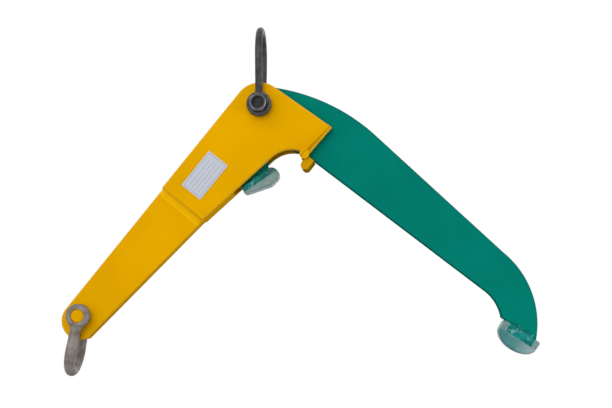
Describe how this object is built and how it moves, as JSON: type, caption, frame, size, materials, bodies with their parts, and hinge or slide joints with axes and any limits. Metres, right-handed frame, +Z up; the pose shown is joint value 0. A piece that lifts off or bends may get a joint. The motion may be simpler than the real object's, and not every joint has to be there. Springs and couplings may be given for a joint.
{
  "type": "cylinder lifting clamp",
  "caption": "Lever-type lifting clamp for gas cylinders and drums: a lever with side cheeks, a swinging leg with soft pads, a hanging bow and an end shackle.",
  "frame": {"origin": "where a hook bears inside the crown of the hanging bow", "axes": "+X towards the tip of the swinging leg, +Z up along the hanging bow, -Y towards the front with the data plate"},
  "size_m": [0.517, 0.083, 0.386],
  "materials": {
    "yellow_paint": "gloss",
    "green_paint": "gloss",
    "dark_steel": "satin",
    "galvanised_steel": "matte",
    "plain_steel": "satin",
    "bush_metal": "satin",
    "bare_plate": "satin",
    "pad_rubber": "satin"
  },
  "bodies": {
    "bail": {"lifting_bail": "dark_steel", "pivot_bolt": "dark_steel", "pivot_nut": "dark_steel"},
    "lever_frame": {"lever_bar": "yellow_paint", "front_cheek": "yellow_paint", "rear_cheek": "yellow_paint", "front_step_weld": "yellow_paint", "rear_step_weld": "yellow_paint", "front_lip": "yellow_paint", "rear_lip": "yellow_paint", "stop_bar": "yellow_paint", "data_plate": "bare_plate"},
    "leg": {"leg_plate": "green_paint", "leg_bush": "bush_metal", "front_washer": "plain_steel", "rear_washer": "plain_steel", "arm_pad_plate": "green_paint", "tip_pad_plate": "green_paint", "arm_pad_welds": "green_paint", "tip_pad_welds": "green_paint", "arm_pad": "pad_rubber", "tip_pad": "pad_rubber"},
    "end_shackle": {"shackle_bow": "galvanised_steel", "shackle_pin": "yellow_paint"}
  },
  "joints": [
    {"name": "frame_swing", "type": "hinge", "parent": "bail", "child": "lever_frame", "pos_m": [0, 0, -0.0815], "axis": [0, -1, 0], "range_deg": [-100, 60]},
    {"name": "leg_pivot", "type": "hinge", "parent": "lever_frame", "child": "leg", "pos_m": [0, 0, -0.0815], "axis": [0, -1, 0], "range_deg": [0, 15]},
    {"name": "end_shackle_swing", "type": "hinge", "parent": "lever_frame", "child": "end_shackle", "pos_m": [-0.19758, 0, -0.3117], "axis": [0, -1, 0], "range_deg": [-150, 95]}
  ]
}
